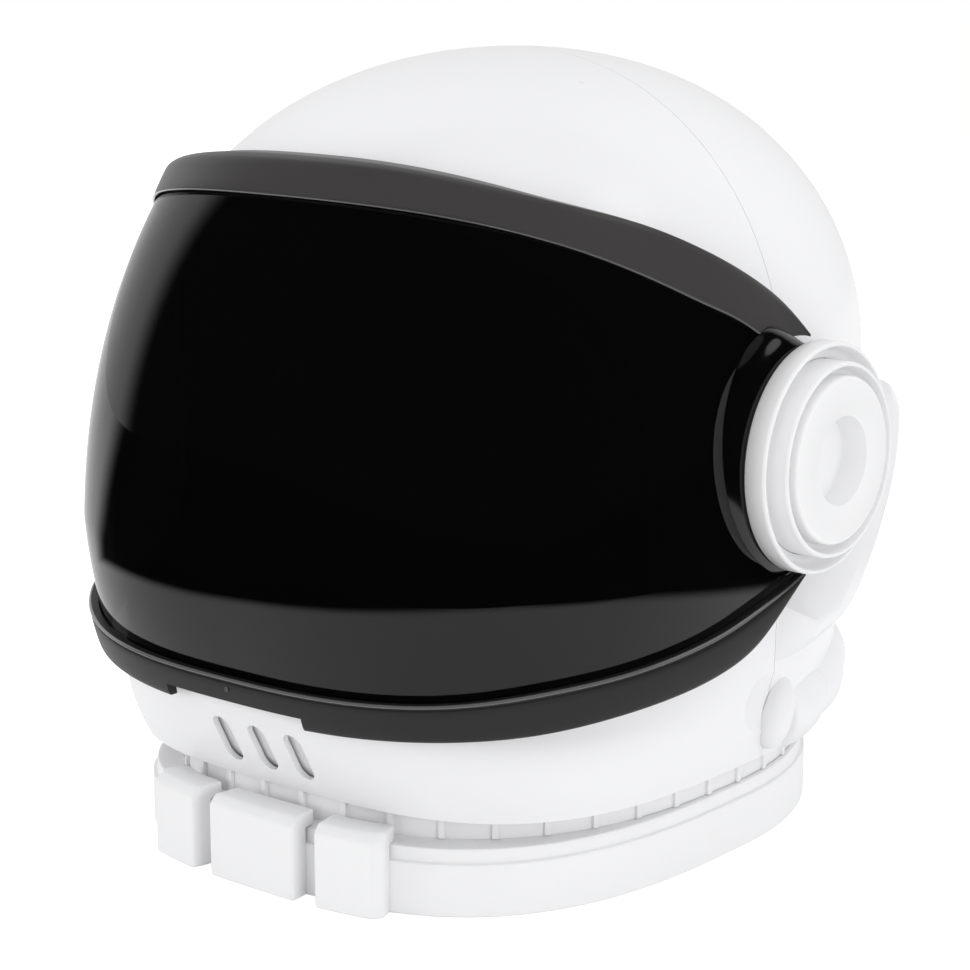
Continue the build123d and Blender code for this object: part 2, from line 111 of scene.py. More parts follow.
# Visor
pivot_height = 149.0
lens_half_width = 132.3
lens_reach = 154.5
lens_belly_height = 118.0
lens_fall_side = 225.0
lens_fall_high = 181.6
lens_fall_low = 172.0
lens_curve_high = 2.3
lens_curve_low = 2.0
lens_power = 2.88
lens_power_high = 2.38
lens_power_low = 2.6
lens_bottom = 58.0
lens_top = 264.0
lens_wall = 2.5
lens_close_reach = 60.0
lens_hole_radius = 36.6
# Reach forwards of the pivot, then heights of the rim's foot and lip and of the brow's foot and top
visor_edge_shares = (
    (-0.078, None, None, 0.172, 0.256),
    (0.026, -0.269, -0.265, 0.224, 0.350),
    (0.087, -0.318, -0.285, 0.261, 0.391),
    (0.181, -0.391, -0.309, 0.319, 0.444),
    (0.291, -0.436, -0.338, 0.370, 0.498),
    (0.421, -0.463, -0.364, 0.434, 0.553),
    (0.583, -0.488, -0.389, 0.512, 0.609),
    (0.744, -0.514, -0.412, 0.577, 0.684),
    (0.874, -0.530, -0.438, 0.619, 0.740),
    (1.062, -0.558, -0.461, 0.692, 0.822),
)
brow_corner_share = 0.25
corner_start = 62.0
corner_end = 112.0
notch_half_width = 32.0
notch_foot = 20.0
notch_height = 70.3
notch_front = -200.0
notch_back = -60.0
lens_end_angle = -1.75
rim_end_angle = -1.8
brow_end_angle = 5.1
edge_overrun = 10.0
seat_gap = 0.2

# Sections of the visor's bands: share of the way up the band, and stand over the lens
brow_section = ((0.0, seat_gap), (0.0, 2.1), (0.5, 3.1), (0.88, 3.9), (1.0, 2.4), (1.0, -4.5),
                (0.86, -4.5), (0.86, seat_gap))
rim_section = ((0.0, seat_gap), (0.0, 3.6), (0.10, 4.2), (0.84, 4.1), (0.88, 3.4), (0.93, 3.9),
               (1.0, 3.2), (1.0, seat_gap))
# Thin edge lines along the rim's lip and the brow's foot, which carry a painted highlight
lip_section = ((0.93, 3.0), (0.93, 3.95), (0.955, 4.1), (1.005, 3.45), (1.005, 3.0))
edge_section = ((-0.012, 0.9), (-0.012, 2.0), (0.012, 2.35), (0.03, 2.3), (0.03, 0.9))
brow_rounding = 0.55
rim_rounding = 0.4
edge_rounding = 0.15

# Ear hubs, whose outlines hold distances from the middle and radii
flange_radius = 40.7
hub_clearance = 0.5
hub_axis = 0.01
post_bore = 9.05
bore_floor = 137.6
bore_rounding = 0.5
bore_back = bore_floor - 2.4
flange_outline = (
    (122.4, post_bore), (122.4, 37.3), (132.0, 37.3), (132.9, 38.6), (133.4, 40.2),
    (134.1, flange_radius), (140.4, flange_radius), (141.3, 40.4), (141.7, 39.8), (141.5, 39.2),
    (140.4, 38.7), (138.2, 38.2), (136.6, 37.5), (135.8, 36.5), (135.6, 35.4), (135.6, 34.5),
    (126.2, 34.5), (126.2, post_bore),
)
ring_outline = (
    (126.2, 26.7), (126.2, 34.3), (145.3, 34.3), (146.2, 34.0), (146.6, 33.4), (146.4, 32.8),
    (145.4, 32.4), (143.6, 32.0), (142.2, 31.4), (141.5, 30.6), (141.3, 29.8), (141.3, 26.7),
)
cap_outline = (
    (bore_floor, hub_axis), (bore_floor, 15.0), (bore_floor + bore_rounding, 15.4), (146.9, 15.6),
    (147.3, 15.8), (147.5, 16.3), (147.5, 28.0), (147.35, 28.7), (146.9, 29.2), (146.1, 29.5),
    (141.4, 29.5), (141.4, 26.5), (130.4, 26.5), (130.4, 24.1), (145.1, 24.1), (145.1, 17.8),
    (bore_back, 17.6), (bore_back, hub_axis),
)
# Black ring of painted shade at each flange's foot, as distances from the middle and radii, fading out over
# and behind the hub
shade_ring_outline = (
    (122.4, 49.3), (125.0, 48.8), (127.6, 47.6), (129.8, 45.9), (131.6, 43.8), (132.8, 41.6),
    (133.2, 40.2), (133.2, 38.9),
)
shade_ring_root = 37.6
shade_ring_fade_start = 0.15
shade_ring_fade_span = 0.5
shade_ring_least_share = 0.02

# Neck collar
collar_half_width = 110.2
collar_front = 136.2
collar_rear = 114.5
collar_front_power = 2.85
collar_rear_power = 2.2
sleeve_half_width = 103.8
sleeve_front = 123.5
sleeve_rear = 108.0
sleeve_front_power = 2.55
sleeve_skin = 2.6
band_height = 24.0
band_wall = 5.8
band_step = 1.6
band_step_height = 5.0
band_ledge_wall = 4.0
band_rounding = 0.7
sleeve_wall = 3.0
sleeve_foot = 3.0
sleeve_shoulder = 37.4
sleeve_top = 40.0
sleeve_shell_gap = 0.5
rib_count = 40
rib_proud = 1.4
rib_width = 2.4
rib_top = 35.0
rib_rounding = 0.35
block_proud = 8.0
block_height = 30.0
block_chamfer = 3.0
block_hook = 5.0
block_seat = 0.4
block_rounding = 0.9
block_far_turn = 1.4
# Turn from straight ahead of each block's ends, and the chamfer at its far end
clamp_blocks = {
    "centre_clamp_block": (-8.0, 8.0, 0.0),
    "left_clamp_block": (11.6, 22.0, 3.0),
    "right_clamp_block": (-11.6, -22.0, 3.0),
}

# Neck roll
roll_half_width = 106.0
roll_rear = 120.0
roll_power = 2.2
roll_radius = 16.5
roll_groove_radius = 13.6
roll_end_height = 44.5
roll_rise = 9.0
roll_start_angle = 9.5
roll_segments = 12
roll_fullness = 0.42
roll_floor_reach = 30.0
roll_cap_middle = (117.2, 8.0, 50.5)
roll_cap_radii = (6.5, 7.5, 13.5)
roll_cap_lean = 20.0
pocket_middle = (122.3, 1.0, 51.5)
pocket_radii = (5.9, 21.0, 19.5)

# Foam pads, each with its middle, its half size and the squareness of its outline
pad_gap = 0.8
pad_wall = 11.0
pad_middle_share = 0.02
pad_edge_share = 0.14
pad_edge_power = 3.2
rear_pad = ((0.0, 134.0), (61.0, 55.0), 3.2)
crown_pad = ((0.0, 0.0), (51.0, 51.0), 2.0)
side_pad = ((45.0, 181.0), (28.5, 30.5), 3.2)

# Cutters run past the whole helmet
cut_half_width = 200.0
cut_reach = 250.0
cut_top = 320.0
visor_cut = 150.0
pod_cut_inside = 100.0
pod_cut_outside = 140.0
pod_cut_front = -60.0

# Fineness of the meshes
merge_distance = 0.0005
crown_close = 1e-7
around_steps = 320
shell_outer_steps = (66, 84)
shell_inner_steps = (40, 50)
shell_core_steps = (60, 60)
# Fineness of the sheet of painted shade inside the shell is the next entry
shade_lining_steps = (30, 40)
window_steps = 80
slot_end_steps = 13
pod_corner_steps = 9
liner_steps = (40, 16)
strip_steps = 360
strip_trial_steps = 4001
meeting_rounds = 80
lens_steps = (60, 40)
corner_steps = 4
line_corner_steps = 3
corner_room_share = 0.45
turned_steps = 160
block_steps = 25
roll_steps = 331
roll_round_steps = 48
egg_steps = (64, 40)
egg_end_angle = 89.5
pad_steps = (120, 26)
floor_steps = 96

# Angles in degrees past which an edge stays sharp, and past which it is bevelled
shell_crease = 32
moulded_crease = 40
rounded_crease = 50
soft_crease = 60
bevel_crease = 30

# Fineness of the finishes, as repeats in a metre
plastic_cloud = 26
plastic_grain = 900
steel_grain = 400
cloth_knit = 1100

# Gloss of the finishes
coat_roughness = 0.12
lens_roughness = 0.02
lens_index = 1.45
metal_wear = 0.08
cloth_roughness = 0.95
cloth_sheen = 0.25

# Strength of each finish's relief, and its depth
plastic_relief = (0.02, 0.2)
cloth_relief = (0.5, 0.4)

# Studio floor
floor_radius = 3000.0
floor_depth = 8.0
floor_gap = 0.02
floor_white = 0.9

# Light, with the paper's and the lamps' places in metres
floor_glow = 0.62
mirrored_floor_glow = 0.2
floor_paper_range = (0.34, 0.56)
paper_direction = (-0.63, 0.777, 0.0)
paper_front_range = (-0.43, -0.43 + 0.01)
paper_radius_range = (0.42 - 0.02, 0.42 + 0.02)
world_paper_range = (0.30, 0.52)
ambient_light = 0.885
dark_room = 0.01
lit_paper = 1.0
aim_point = (0, 0, 0.14)
# Place, size, watts and whether mirrors show the lamp
lamps = {
    "overhead": ((0.1, 0.0, 2.0), 1.2, 0.9, True),
    "back right": ((1.2, 0.8, 1.7), 0.7, 1.6, True),
    "front left": ((-1.4, -1.5, 0.45), 0.9, 7.5, False),
    "front right": ((1.9, -0.7, 0.45), 0.9, 8.0, False),
}

# Camera at the photograph's angle
camera_azimuth = radians(39.18)
camera_elevation = radians(12.63)
camera_distance = 1.0
camera_aim = Vector((-11.76, 0, 117.99)) * mm
focal_pixels = 2599.7
frame_pixels = 970
sensor_width = 36.0
nearest_seen = 0.01


# Shapes

def full_turn(steps):
    """Angles of a whole turn in equal steps."""
    return np.linspace(0, 2 * pi, steps, endpoint=False)


def between(start, end, share):
    """Value a share of the way from start to end."""
    return start + (end - start) * share


def eased(share):
    """The same share, with a gentle start and end."""
    return share ** 2 * (3 - 2 * share)


def oval(angles, half, reach, power, height):
    """Points of a rounded plan outline at angles from the left, squarer the higher its power."""
    across, along = np.cos(angles), np.sin(angles)
    radius = ((abs(across) / half) ** power + (abs(along) / reach) ** power) ** (-1 / power)
    return np.stack([radius * across, radius * along, height], -1)


def plan_ring(plan, inset, height, angles):
    """Points of an outline with its own front and rear, drawn in by the inset."""
    half, front, rear, front_power, back_power = plan
    behind = np.sin(angles) > 0
    reach = np.where(behind, rear - inset, front - inset)
    power = np.where(behind, back_power, front_power)
    return oval(angles, half - inset, reach, power, np.full_like(angles, height))


def axis_ring(out, radius, angles):
    """Points round the pivot axis, at a distance out from the helmet's middle."""
    along, up = radius * np.cos(angles), pivot_height + radius * np.sin(angles)
    return np.stack([np.full_like(angles, out), along, up], -1)


def curve_through(across, up):
    """Smooth curve through points given from left to right, as a function."""
    across, up = np.array(across, float), np.array(up, float)
    step = np.diff(across)
    slope = np.diff(up) / step
    count = len(across)
    table = np.eye(count)
    bend = np.zeros(count)
    for row in range(1, count - 1):
        table[row, row - 1:row + 2] = step[row - 1], 2 * (step[row - 1] + step[row]), step[row]
        bend[row] = 6 * (slope[row] - slope[row - 1])
    bend = np.linalg.solve(table, bend)

    def height(places):
        part = np.clip(np.searchsorted(across, places) - 1, 0, count - 2)
        back, ahead, span = places - across[part], across[part + 1] - places, step[part]
        steady = up[part] * ahead / span + up[part + 1] * back / span
        pull_back = bend[part] * (ahead ** 3 / span - span * ahead)
        pull_ahead = bend[part + 1] * (back ** 3 / span - span * back)
        return steady + (pull_back + pull_ahead) / 6
    return height


# Meshes

def grid_faces(rows, columns, wrap_rows, wrap_columns):
    """Four-cornered faces over a grid of points that is numbered row by row."""
    row = np.arange(rows if wrap_rows else rows - 1)
    column = np.arange(columns if wrap_columns else columns - 1)
    row, column = [part.ravel() for part in np.meshgrid(row, column, indexing="ij")]
    below, beside = (row + 1) % rows, (column + 1) % columns
    row, below = row * columns, below * columns
    return np.stack((row + column, below + column, below + beside, row + beside), -1).tolist()


def sheet(name, grid, wrap_rows=False, wrap_columns=False, cap_rows=False, cap_columns=False):
    """Mesh over a grid of points in millimetres. Open ends of a closed loop take a face each."""
    grid = np.asarray(grid, float)
    rows, columns = grid.shape[:2]
    faces = grid_faces(rows, columns, wrap_rows, wrap_columns)
    index = np.arange(rows * columns).reshape(rows, columns)
    if cap_rows:
        faces += [index[0].tolist(), index[-1].tolist()]
    if cap_columns:
        faces += [index[:, 0].tolist(), index[:, -1].tolist()]
    mesh = bpy.data.meshes.new(name)
    mesh.from_pydata((grid.reshape(-1, 3) * mm).tolist(), [], faces)
    piece = bpy.data.objects.new(name, mesh)
    bpy.context.scene.collection.objects.link(piece)
    return piece


def turn_outwards(piece):
    """Joins doubled points and makes a closed mesh's faces point outwards."""
    work = bmesh.new()
    work.from_mesh(piece.data)
    bmesh.ops.remove_doubles(work, verts=work.verts, dist=merge_distance * mm)
    bare = [edge for edge in work.edges if not edge.link_faces]
    bmesh.ops.delete(work, geom=bare, context="EDGES")
    bmesh.ops.recalc_face_normals(work, faces=work.faces)
    work.to_mesh(piece.data)
    work.free()
    return piece


def capped(name, rows):
    """Closed solid over rings of points, with a face at each end."""
    return turn_outwards(sheet(name, rows, wrap_columns=True, cap_rows=True))


def looped(name, rows):
    """Closed solid over rings of points, of which the last joins the first."""
    return turn_outwards(sheet(name, rows, wrap_rows=True, wrap_columns=True))


def banded(name, rows):
    """Closed band over open rows of points, of which the last joins the first."""
    return turn_outwards(sheet(name, rows, wrap_rows=True, cap_columns=True))


def soften(piece, crease=shell_crease):
    """Shades a piece smooth, apart from edges past an angle."""
    piece.data.shade_smooth()
    piece.data.set_sharp_from_angle(angle=radians(crease))
    return piece


def settle(piece):
    """Applies the piece's modifiers to its mesh."""
    view = bpy.context.evaluated_depsgraph_get()
    view.update()
    mesh = bpy.data.meshes.new_from_object(piece.evaluated_get(view))
    piece.modifiers.clear()
    piece.data = mesh
    return piece


def carve(piece, cutters):
    """Takes the cutters' space away from the piece."""
    for cutter in cutters:
        trim = piece.modifiers.new("trim", "BOOLEAN")
        trim.operation = "DIFFERENCE"
        trim.solver = "EXACT"
        trim.object = cutter
    settle(piece)
    for cutter in cutters:
        bpy.data.objects.remove(cutter)
    return piece


def round_edges(piece, width, steps=2):
    """Bevels a piece's sharp edges."""
    bevel = piece.modifiers.new("edges", "BEVEL")
    bevel.width = width * mm
    bevel.segments = steps
    bevel.limit_method = "ANGLE"
    bevel.angle_limit = radians(bevel_crease)
    bevel.harden_normals = False
    return settle(piece)


def upright_prism(plan):
    """Prism from the ground up, past the crown, over the corners of its plan."""
    return capped("prism", [[(x, y, level) for x, y in plan] for level in (0, cut_top)])


def cross_slab(start, end):
    """Upright slab right across the helmet between two places along it."""
    return upright_prism([(-cut_half_width, start), (cut_half_width, start), (cut_half_width, end),
                          (-cut_half_width, end)])


def turned(name, outline, side=1, closed=True):
    """Turned piece about the pivot axis from an outline of distance from the middle and radius."""
    rings = [axis_ring(side * out, radius, full_turn(turned_steps)) for out, radius in outline]
    return looped(name, rings) if closed else capped(name, rings)


def egg(name, middle, radii, side):
    """Egg at the neck roll's end on one side, leaning back at its top."""
    round_steps, rise_steps = egg_steps
    turns = full_turn(round_steps)
    tilt = radians(roll_cap_lean)
    rows = []
    for level in np.radians(np.linspace(-egg_end_angle, egg_end_angle, rise_steps)):
        along = radii[1] * cos(level) * np.sin(turns)
        up = radii[2] * sin(level) + np.zeros_like(turns)
        rows.append(np.stack([side * middle[0] + radii[0] * cos(level) * np.cos(turns),
                              middle[1] + along * cos(tilt) + up * sin(tilt),
                              middle[2] + up * cos(tilt) - along * sin(tilt)], -1))
    return capped(name, rows)


def side_prism(points, reach=cut_half_width):
    """Prism across the helmet whose outline is drawn in side view."""
    points = np.array(points, float)
    return capped("slab", [np.stack([np.full(len(points), x), points[:, 0], points[:, 1]], -1)
                           for x in (-reach, reach)])


def rounded_steps(corners, radius, steps=5):
    """Outline of corner points with each corner rounded by an arc."""
    corners = [np.array(corner, float) for corner in corners]
    outline = []
    for index, corner in enumerate(corners):
        before, after = corners[index - 1], corners[(index + 1) % len(corners)]
        back, ahead = before - corner, after - corner
        room = min(np.linalg.norm(back), np.linalg.norm(ahead)) * corner_room_share
        pull = min(radius, room)
        start = corner + back / np.linalg.norm(back) * pull
        end = corner + ahead / np.linalg.norm(ahead) * pull
        for step in range(steps):
            share = step / (steps - 1)
            outline.append((1 - share) ** 2 * start + 2 * share * (1 - share) * corner + share ** 2 * end)
    return outline


def finish_piece(piece, body, slot_name, nodes=(), material=None):
    """Gives a piece its body and a material, the slot's unless named, and hides the nodes it replaces."""
    piece.data.materials.clear()
    piece.data.materials.append(material or slot_material[slot_name])
    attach(piece, body)
    if nodes:
        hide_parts(*nodes)
    return piece


# Node trees

def node_group(name, sizes):
    """Empty tree with named sizes and one geometry in and out."""
    group = bpy.data.node_groups.new(name, "GeometryNodeTree")
    group.interface.new_socket("Geometry", in_out="INPUT", socket_type="NodeSocketGeometry")
    for label, value in sizes.items():
        kind = "NodeSocketInt" if isinstance(value, int) else "NodeSocketFloat"
        socket = group.interface.new_socket(label, in_out="INPUT", socket_type=kind)
        socket.default_value = value
    group.interface.new_socket("Geometry", in_out="OUTPUT", socket_type="NodeSocketGeometry")
    return group, group.nodes.new("NodeGroupInput"), group.nodes.new("NodeGroupOutput")


def set_inputs(tree, node, inputs):
    """Puts a value or another node's output in each named or numbered input."""
    for name, value in inputs.items():
        if isinstance(value, bpy.types.NodeSocket):
            tree.links.new(value, node.inputs[name])
        else:
            node.inputs[name].default_value = value


def add_node(tree, kind, inputs=None, **settings):
    """Node with its settings and inputs."""
    node = tree.nodes.new(kind)
    for name, value in settings.items():
        setattr(node, name, value)
    set_inputs(tree, node, inputs or {})
    return node


def sum_of(tree, operation, *values):
    """Result of a sum of numbers and outputs."""
    return add_node(tree, "ShaderNodeMath", dict(enumerate(values)), operation=operation).outputs[0]


def end_tree(tree, end, geometry, material):
    """Ends a tree in plain geometry of one material."""
    real = add_node(tree, "GeometryNodeRealizeInstances", {"Geometry": geometry}).outputs["Geometry"]
    finish = add_node(tree, "GeometryNodeSetMaterial", {"Geometry": real, "Material": material})
    set_inputs(tree, end, {"Geometry": finish.outputs["Geometry"]})


def path_object(name, points, closed):
    """Curve through points in millimetres, as a carrier for a tree."""
    curve = bpy.data.curves.new(name, "CURVE")
    curve.dimensions = "3D"
    line = curve.splines.new("POLY")
    line.points.add(len(points) - 1)
    for point, place in zip(line.points, points):
        point.co = (*(np.array(place) * mm), 1)
    line.use_cyclic_u = closed
    path = bpy.data.objects.new(name, curve)
    bpy.context.scene.collection.objects.link(path)
    return path


def grown(path, group, sizes, name):
    """Runs a tree on a path and returns what it makes as a plain mesh."""
    grower = path.modifiers.new("grow", "NODES")
    grower.node_group = group
    for item in group.interface.items_tree:
        if item.item_type == "SOCKET" and item.in_out == "INPUT" and item.name in sizes:
            grower[item.identifier] = sizes[item.name]
    view = bpy.context.evaluated_depsgraph_get()
    view.update()
    mesh = bpy.data.meshes.new_from_object(path.evaluated_get(view))
    path.modifiers.remove(grower)
    bpy.data.objects.remove(path)
    piece = bpy.data.objects.new(name, mesh)
    bpy.context.scene.collection.objects.link(piece)
    return piece


# Materials

def new_material(name, colour):
    """Material with its tree and its shader in a colour."""
    material = bpy.data.materials.new(name)
    material.use_nodes = True
    shader = material.node_tree.nodes["Principled BSDF"]
    shader.inputs["Base Color"].default_value = (*colour, 1)
    return material, material.node_tree, shader


def noise_on(tree, size, detail=2.0):
    """Noise on the piece's own coordinates."""
    place = add_node(tree, "ShaderNodeTexCoord").outputs["Object"]
    cloud = {"Vector": place, "Scale": size, "Detail": detail}
    return add_node(tree, "ShaderNodeTexNoise", cloud).outputs["Fac"]


def wandering(tree, source, value, wear):
    """Value that wanders by its wear to both sides."""
    limits = {"Value": source, "To Min": value - wear, "To Max": value + wear}
    return add_node(tree, "ShaderNodeMapRange", limits).outputs["Result"]


def raised(tree, source, strength, depth):
    """Fine relief of a depth in millimetres."""
    relief = {"Height": source, "Strength": strength, "Distance": depth * mm}
    return add_node(tree, "ShaderNodeBump", relief).outputs["Normal"]


def moulded(name, colour, roughness, coat=0.0, wear=0.05, gloss=0.5):
    """Moulded plastic, with a fine grain and a gloss that varies a little."""
    material, tree, shader = new_material(name, colour)
    set_inputs(tree, shader, {
        "Roughness": wandering(tree, noise_on(tree, plastic_cloud, detail=3), roughness, wear),
        "Specular IOR Level": gloss,
        "Coat Weight": coat,
        "Coat Roughness": coat_roughness,
        "Normal": raised(tree, noise_on(tree, plastic_grain), *plastic_relief),
    })
    return material


def smoked(name, colour, see_through):
    """Clear smoked plastic, mirror smooth."""
    material, tree, shader = new_material(name, colour)
    set_inputs(tree, shader, {"Roughness": lens_roughness, "IOR": lens_index, "Alpha": 1 - see_through})
    return material


def metal(name, colour, roughness):
    """Bare metal with fine scratches."""
    material, tree, shader = new_material(name, colour)
    scratched = wandering(tree, noise_on(tree, steel_grain), roughness, metal_wear)
    set_inputs(tree, shader, {"Metallic": 1, "Roughness": scratched})
    return material


def cloth(name, colour):
    """Knitted cloth over foam."""
    material, tree, shader = new_material(name, colour)
    place = add_node(tree, "ShaderNodeTexCoord").outputs["Object"]
    knit = add_node(tree, "ShaderNodeTexVoronoi", {"Vector": place, "Scale": cloth_knit}).outputs["Distance"]
    set_inputs(tree, shader, {
        "Roughness": cloth_roughness,
        "Sheen Weight": cloth_sheen,
        "Normal": raised(tree, knit, *cloth_relief),
    })
    return material


slot_material = {
    "white_shell": moulded("white shell plastic", (0.86, 0.86, 0.875), 0.30, coat=0.25),
    "white_hub": moulded("white hub plastic", (0.87, 0.87, 0.88), 0.36, coat=0.1),
    "white_collar": moulded("white collar plastic", (0.87, 0.87, 0.88), 0.42),
    "white_roll": moulded("white roll plastic", (0.86, 0.86, 0.875), 0.42),
    "dark_frame": moulded("dark satin frame", (0.048, 0.045, 0.045), 0.36, wear=0.04, gloss=0.6),
    "smoked_lens": smoked("smoked lens", (0.0015, 0.0015, 0.0018), 0.10),
    "grey_liner": moulded("grey liner", (0.86, 0.86, 0.86), 0.55),
    "foam": cloth("black foam cloth", (0.018, 0.018, 0.020)),
    "fibre_washer": moulded("fibre washer", (0.35, 0.33, 0.30), 0.7),
    "steel": metal("bright steel", (0.62, 0.62, 0.63), 0.32),
}
# The lower rim's plastic is darker than the brow's, though both are the same frame: painted shade
rim_painted_shade = moulded("satin frame with painted shade on rim", (0.020, 0.019, 0.019), 0.40, wear=0.04, gloss=0.22)
# Lighter, glossier copy of the frame plastic for thin edge lines: the lighter colour is painted highlight,
# the gloss is real
glossy_edge_painted_highlight = moulded("glossy edge with painted highlight", (0.11, 0.11, 0.11), 0.16, coat=1.0, wear=0.02)
# Opaque black in the lens's colour, for the ring of painted shade at each hub's foot
painted_hub_shade = moulded("black painted hub shade", (0.0015, 0.0015, 0.0018), 0.12, wear=0.02)
dark_steel = metal("dark steel", (0.16, 0.16, 0.17), 0.45)
for part in frame["record"]["subparts"]:
    node = frame["nodes"][part["node"]]
    node.data.materials.clear()
    node.data.materials.append(slot_material[part["material_slot"]])
frame["nodes"]["rim_stop_pin"].data.materials[0] = dark_steel


# Shell halves

def shell_plan(height):
    """Half width, front and rear reach and powers of the shell's outline at a height."""
    share = (shell_widest_height - height) / (shell_widest_height - shell_bottom)
    half = between(shell_half_width, shell_foot_half_width, share ** side_power)
    rear = between(shell_rear_reach, nape_reach, share ** nape_power)
    if height < chin_height:
        front = between(chin_foot_reach, chin_reach, (height - shell_bottom) / (chin_height - shell_bottom))
    else:
        front = between(chin_reach, brow_reach, (height - chin_height) / (shell_widest_height - chin_height))
    power = between(dome_front_power, chin_power, share)
    foot_share = max(chin_height - height, 0) / (chin_height - shell_bottom)
    power += chin_corner_power * foot_share * (2 - foot_share)
    return half, front, rear, power, rear_power


def shell_rows(inset, lower_steps, dome_steps, columns):
    """Rings of the shell's surface from its foot to its crown."""
    angles = full_turn(columns) + pi / 2
    rows = [plan_ring(shell_plan(height), inset, height, angles)
            for height in np.linspace(shell_bottom, shell_widest_height, lower_steps)]
    widest = shell_plan(shell_widest_height)
    rise = shell_top - shell_widest_height - inset
    for angle in np.linspace(0, pi / 2, dome_steps + 1)[1:]:
        up = sin(angle) ** (2 / crown_power)
        out = max(cos(angle), crown_close) ** (2 / crown_power)
        ring = plan_ring(widest, inset, 0, angles) * out
        ring[:, 2] = shell_widest_height + rise * up
        rows.append(ring)
    return rows


def shell_core():
    """Solid up to the middle of the shell's wall, which takes away what would lie inside it."""
    return capped("solid", shell_rows(shell_wall / 2, *shell_core_steps, around_steps))


def open_shell(name):
    """Hollow shell, open at its foot, before its windows are cut."""
    outer = shell_rows(0, *shell_outer_steps, around_steps)
    inner = shell_rows(shell_wall, *shell_inner_steps, around_steps)[::-1]
    return looped(name, outer + inner)


def window_cutter():
    """Prism whose side view is the face window's curved edge."""
    points = np.array(window_shares) * lens_reach
    places = np.arange(len(points))
    samples = np.linspace(0, len(points) - 1, window_steps)
    forwards = curve_through(places, points[:, 0])(samples)
    up = curve_through(places, points[:, 1])(samples)
    return side_prism(np.stack([-forwards, pivot_height + up], -1))


def vent_cutter(across):
    """Round-ended upright slot through the chin."""
    turn = np.linspace(0, pi, slot_end_steps)
    straight = (vent_length - vent_width) / 2
    half = vent_width / 2
    top = [(across + half * cos(a), vent_height + straight + half * sin(a)) for a in turn]
    bottom = [(across - half * cos(a), vent_height - straight - half * sin(a)) for a in turn]
    return capped("slot", [[(x, y, z) for x, z in top + bottom] for y in (vent_cut_start, vent_cut_end)])


def pod_solid(side):
    """Raised pod behind the hub, moulded in one with the rear shell."""
    corners = [(back * lens_reach, pivot_height + up * lens_reach) for back, up in pod_shares]
    outline = np.array(rounded_steps(corners, pod_corner_radius, pod_corner_steps))
    middle = np.array([lens_reach * pod_middle_share, pivot_height - pod_slope])
    levels = [(1.0, pod_root)] + [(share, pod_face - drop * pod_slope) for share, drop in pod_slope_shares]
    rows = []
    for share, out in levels:
        ring = middle + (outline - middle) * share
        rows.append(np.stack([np.full(len(ring), side * out), ring[:, 0], ring[:, 1]], -1))
    return capped("pod", rows)


def pod_hub_cutter(side):
    """Turned cutter that slopes the pod's edge away from the hub."""
    outline = [(pod_cut_inside, pod_relief_radius), (pod_bevel_root, pod_relief_radius),
               (pod_bevel_face, pod_relief_radius + pod_bevel), (pod_bevel_face, hub_axis),
               (pod_cut_inside, hub_axis)]
    return turned("relief", outline, side)


def pod_front_cutter(side):
    """Upright wedge that slopes the pod's front down to the seam."""
    front = seam_offset + seam_gap
    plan = [(pod_cut_inside, pod_cut_front), (pod_cut_inside, front), (pod_bevel_root, front),
            (pod_bevel_face, front + pod_front_run), (pod_cut_outside, front + pod_front_run),
            (pod_cut_outside, pod_cut_front)]
    return upright_prism([(side * x, y) for x, y in plan])


def roll_pockets():
    """Shallow hollows in both sides of the shell, round the neck roll's ends."""
    return [egg("pocket", pocket_middle, pocket_radii, side) for side in sides.values()]


vent_places = [(index - (vent_count - 1) / 2) * vent_pitch for index in range(vent_count)]
front_piece = open_shell("front_shell_moulding")
carve(front_piece, [cross_slab(seam_offset - seam_gap, cut_reach), window_cutter()] + roll_pockets()
      + [vent_cutter(across) for across in vent_places])
finish_piece(soften(front_piece), helmet, "white_shell", ["front_shell"])

rear_piece = open_shell("rear_shell_moulding")
carve(rear_piece, [cross_slab(-cut_reach, seam_offset + seam_gap)] + roll_pockets())
finish_piece(soften(rear_piece), helmet, "white_shell", ["rear_shell"])
for word, side in sides.items():
    pod = pod_solid(side)
    carve(pod, [pod_hub_cutter(side), shell_core(), pod_front_cutter(side)])
    finish_piece(soften(pod, moulded_crease), helmet, "white_shell")
    pod.name = f"{word}_ear_pod"

# Thin liner behind the vent slots
turn_steps, rise_steps = liner_steps
liner_angles = np.radians(np.linspace(-90 - vent_liner_half_turn, -90 + vent_liner_half_turn, turn_steps))
liner_foot = vent_height - vent_length / 2 + vent_liner_foot_gap
liner_head = vent_height + vent_length / 2 + vent_liner_rise
liner_heights = np.linspace(liner_foot, liner_head, rise_steps)
liner_rows = [plan_ring(shell_plan(height), shell_wall + vent_liner_gap + depth, height, liner_angles)
              for depth, heights in ((0, liner_heights), (vent_liner_wall, liner_heights[::-1]))
              for height in heights]
liner = banded("vent_liner_sheet", liner_rows)
finish_piece(soften(liner, moulded_crease), helmet, "grey_liner", ["chin_vent_liner"])

# Dark cloth sheet on the inside of both halves, above the neck and behind the face window: painted shade
# inside the helmet
shade_lining_inset = shell_wall + shade_lining_gap
shade_lining_outer = shell_rows(shade_lining_inset, *shade_lining_steps, around_steps // 2)
shade_lining_inner = shell_rows(shade_lining_inset + shade_lining_wall, *shade_lining_steps, around_steps // 2)[::-1]
shade_lining = looped("painted_shade_lining", shade_lining_outer + shade_lining_inner)
carve(shade_lining, [window_cutter(), side_prism(shade_lining_foot)])
finish_piece(soften(shade_lining), helmet, "foam")


# Visor

visor_table = np.array([[np.nan if value is None else value for value in row] for row in visor_edge_shares])


def edge_curve(column):
    """Height of one of the visor's edges at a reach forwards of the pivot."""
    rows = visor_table[~np.isnan(visor_table[:, column])]
    return curve_through(rows[:, 0] * lens_reach, pivot_height + rows[:, column] * lens_reach)


rim_foot, rim_lip, brow_low, brow_high = [edge_curve(column) for column in (1, 2, 3, 4)]


